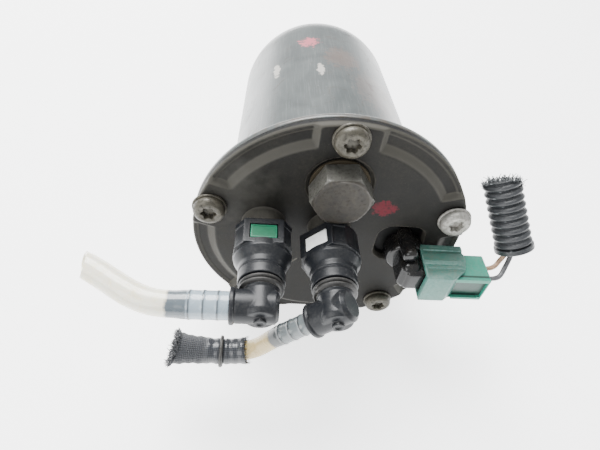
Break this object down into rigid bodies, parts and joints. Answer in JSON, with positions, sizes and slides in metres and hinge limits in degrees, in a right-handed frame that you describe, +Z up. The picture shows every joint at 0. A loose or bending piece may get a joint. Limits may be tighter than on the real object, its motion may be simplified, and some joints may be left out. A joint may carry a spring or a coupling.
{
  "type": "diesel fuel filter",
  "caption": "Diesel fuel filter canister lying down, with a screwed cover, two quick connectors with cut tubes, a hexagon plug and a wired heater plug.",
  "frame": {"origin": "bottom centre of the box of the filter lying down, without its tubes and wires", "axes": "+Z up, +Y along the canister from the cover towards the domed end, +X to the right when facing the cover"},
  "size_m": [0.1748, 0.1941, 0.1084],
  "materials": {
    "canister_paint": "semi-gloss blue-grey paint with light scuffs",
    "cover_moulding": "glass-filled nylon under a film of dry dust",
    "dirty_zinc": "zinc plate dulled by dirt",
    "steel": "plain bright steel",
    "brass": "dull brass and copper alloy",
    "black_nylon": "satin black nylon with dust in its corners",
    "rubber": "soft black rubber",
    "green_plastic": "bright green moulding",
    "white_plastic": "white moulding",
    "fuel_tube": "translucent nylon tube, clear where it is stretched and amber beyond",
    "pale_green_plastic": "faded grey-green moulding",
    "copper_insulation": "copper brown wire insulation",
    "grey_insulation": "dark grey wire insulation",
    "filter_paper": "resin-treated filter paper"
  },
  "bodies": {
    "root": {"canister": "canister_paint", "cover": "cover_moulding", "cover_seal": "rubber", "screw_1": "dirty_zinc", "screw_2": "dirty_zinc", "screw_3": "dirty_zinc", "screw_4": "dirty_zinc", "screw_5": "dirty_zinc", "screw_washer_1": "dirty_zinc", "screw_washer_2": "dirty_zinc", "screw_washer_3": "dirty_zinc", "screw_washer_4": "dirty_zinc", "screw_washer_5": "dirty_zinc", "flange_nut_1": "steel", "flange_nut_2": "steel", "flange_nut_3": "steel", "flange_nut_4": "steel", "flange_nut_5": "steel", "top_plug": "dirty_zinc", "top_plug_seal": "brass", "left_nipple": "steel", "right_nipple": "steel", "heater_socket": "black_nylon", "upper_terminal": "brass", "lower_terminal": "brass", "filter_element": "filter_paper", "core_tube": "dirty_zinc", "upper_end_cap": "dirty_zinc", "lower_end_cap": "dirty_zinc", "element_seal": "rubber", "element_spring": "steel"},
    "left_connector": {"left_connector_body": "black_nylon", "left_connector_seal": "rubber", "left_bellows": "rubber", "left_elbow": "black_nylon", "left_tube": "fuel_tube"},
    "left_button": {"left_release_button": "green_plastic"},
    "right_connector": {"right_connector_body": "black_nylon", "right_connector_seal": "rubber", "right_bellows": "rubber", "right_elbow": "black_nylon", "right_tube": "fuel_tube", "tube_sleeve": "rubber", "sleeve_tie": "black_nylon"},
    "right_button": {"right_release_button": "white_plastic"},
    "wiring_plug": {"plug_shell": "pale_green_plastic", "plug_body": "green_plastic", "copper_wire_seal": "rubber", "grey_wire_seal": "rubber", "copper_wire": "copper_insulation", "grey_wire": "grey_insulation", "wire_conduit": "black_nylon"},
    "latch": {"plug_latch": "pale_green_plastic"}
  },
  "joints": [
    {"name": "left_swivel", "type": "hinge", "parent": "root", "child": "left_connector", "pos_m": [-0.0308, -0.04774, 0.05981], "axis": [0, 0.9936, -0.1132], "range_deg": [-5, 90]},
    {"name": "right_swivel", "type": "hinge", "parent": "root", "child": "right_connector", "pos_m": [-0.005, -0.04784, 0.05901], "axis": [0, 0.9936, -0.1132], "range_deg": [-35, 4]},
    {"name": "left_button_press", "type": "slide", "parent": "left_connector", "child": "left_button", "axis": [0, -0.1132, -0.9936], "range_m": [0, 0.0018], "stiffness_N_per_m": 400, "springref_m": -0.001},
    {"name": "right_button_press", "type": "slide", "parent": "right_connector", "child": "right_button", "axis": [0.6947, -0.0814, -0.7147], "range_m": [0, 0.0018], "stiffness_N_per_m": 400, "springref_m": -0.001},
    {"name": "plug_pull", "type": "slide", "parent": "root", "child": "wiring_plug", "axis": [1, 0, 0], "range_m": [0, 0.009]},
    {"name": "latch_flex", "type": "hinge", "parent": "wiring_plug", "child": "latch", "pos_m": [0.0348, -0.06093, 0.05447], "axis": [0, 0.9936, -0.1132], "range_deg": [0, 3.5], "stiffness_Nm_per_rad": 0.05, "springref_deg": -5.73}
  ]
}
